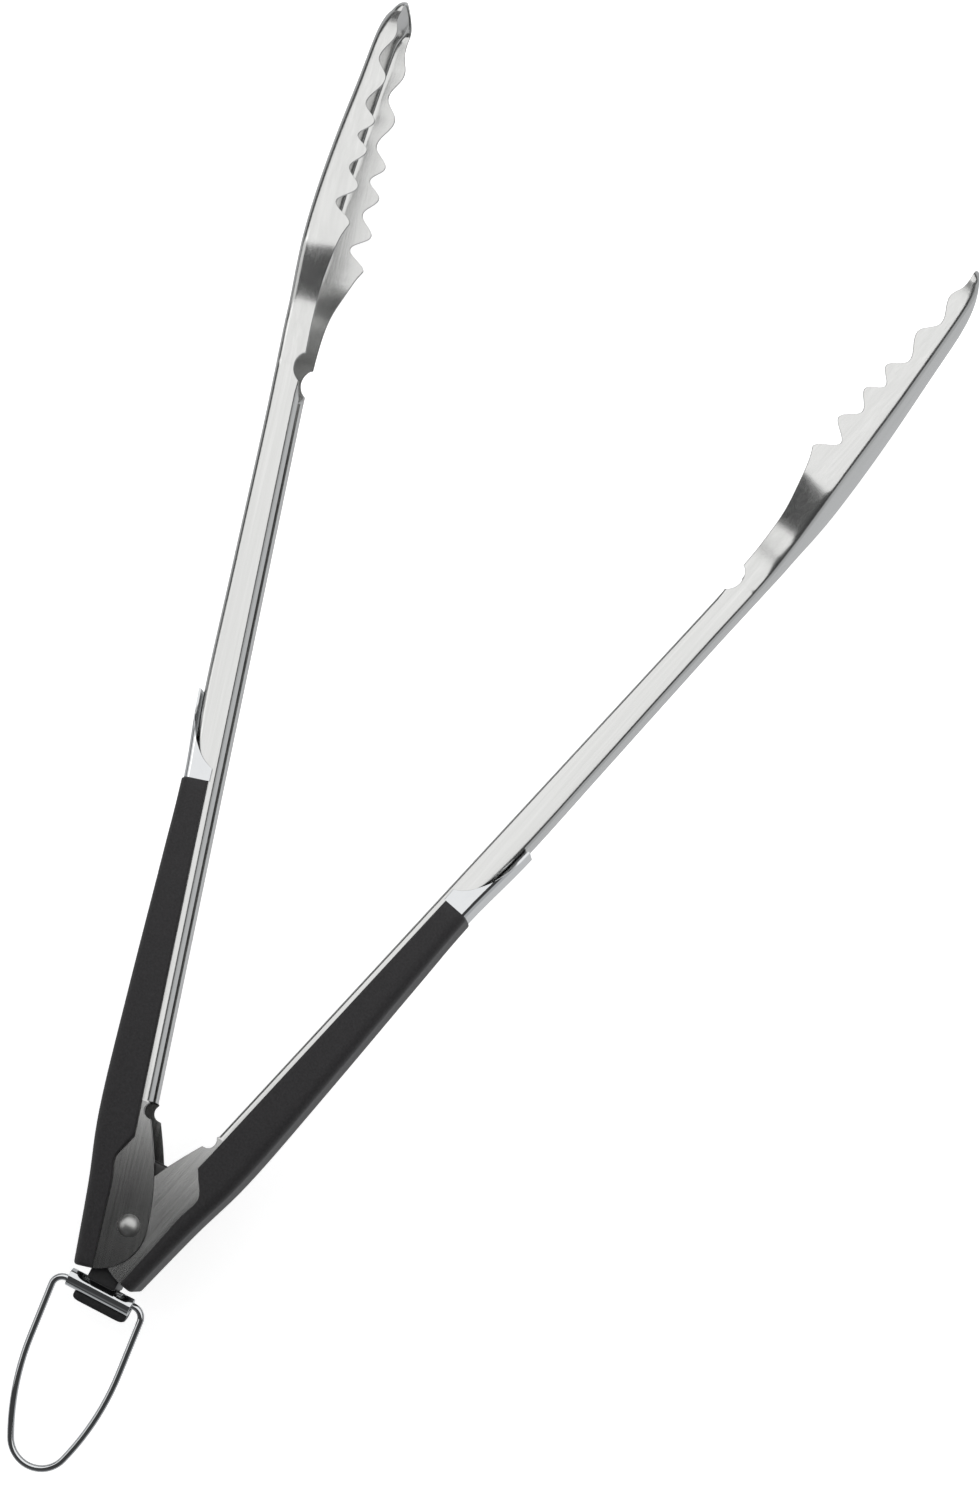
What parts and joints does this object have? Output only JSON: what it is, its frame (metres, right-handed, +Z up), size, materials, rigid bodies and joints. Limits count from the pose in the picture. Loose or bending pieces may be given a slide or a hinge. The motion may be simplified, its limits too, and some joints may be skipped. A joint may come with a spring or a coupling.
{
  "type": "spring loaded kitchen tongs",
  "caption": "Long spring loaded kitchen tongs with scalloped steel scoop heads, soft grips, chrome ferrules, a pull lock and a wire hanging bail.",
  "frame": {"origin": "middle of the bottom of the bounding box, the tongs lying flat and open, on the line halfway between the arms", "axes": "+Y along the line halfway between the arms towards the tips, +Z up along the pivot axis, +X towards the inner arm"},
  "size_m": [0.2072, 0.4618, 0.054],
  "materials": {
    "brushed_steel": "fine brushed stainless steel",
    "chrome": "polished chrome plate",
    "soft_grip": "matt soft-touch rubber, charcoal",
    "carrier_plastic": "moulded nylon, black",
    "tab_plastic": "moulded plastic, black, satin",
    "slider_steel": "blackened steel strip with bare edges",
    "rivet_steel": "satin stainless steel",
    "spring_steel": "drawn spring wire"
  },
  "bodies": {
    "outer_arm_body": {"outer_arm": "brushed_steel", "outer_grip_carrier": "carrier_plastic", "outer_grip": "soft_grip", "outer_ferrule": "chrome", "pivot_rivet": "rivet_steel", "torsion_spring": "spring_steel"},
    "inner_arm_body": {"inner_arm": "brushed_steel", "inner_grip_carrier": "carrier_plastic", "inner_grip": "soft_grip", "inner_ferrule": "chrome"},
    "lock_carrier": {"pivot_sleeve": "rivet_steel"},
    "lock_body": {"lock_slider": "slider_steel", "pull_tab": "tab_plastic", "tab_pin": "rivet_steel", "hinge_tube": "chrome"},
    "bail_body": {"hanging_bail": "chrome"}
  },
  "joints": [
    {"name": "arm_hinge", "type": "hinge", "parent": "outer_arm_body", "child": "inner_arm_body", "pos_m": [0, -0.15065, 0.027], "axis": [0, 0, 1], "range_deg": [0, 29.2], "stiffness_Nm_per_rad": 0.8, "springref_deg": -20.05, "deforming": ["torsion_spring"]},
    {"name": "lock_swing", "type": "hinge", "parent": "outer_arm_body", "child": "lock_carrier", "pos_m": [0, -0.15065, 0.027], "axis": [0, 0, 1], "range_deg": [0, 14.6]},
    {"name": "lock_slide", "type": "slide", "parent": "lock_carrier", "child": "lock_body", "axis": [0, -1, 0], "range_m": [0, 0.008]},
    {"name": "bail_swing", "type": "hinge", "parent": "lock_body", "child": "bail_body", "pos_m": [0, -0.17296, 0.027], "axis": [1, 0, 0], "range_deg": [-120, 15]}
  ],
  "couplings": [
    {"joint": "lock_swing", "follows": "arm_hinge", "ratio": 0.5}
  ]
}
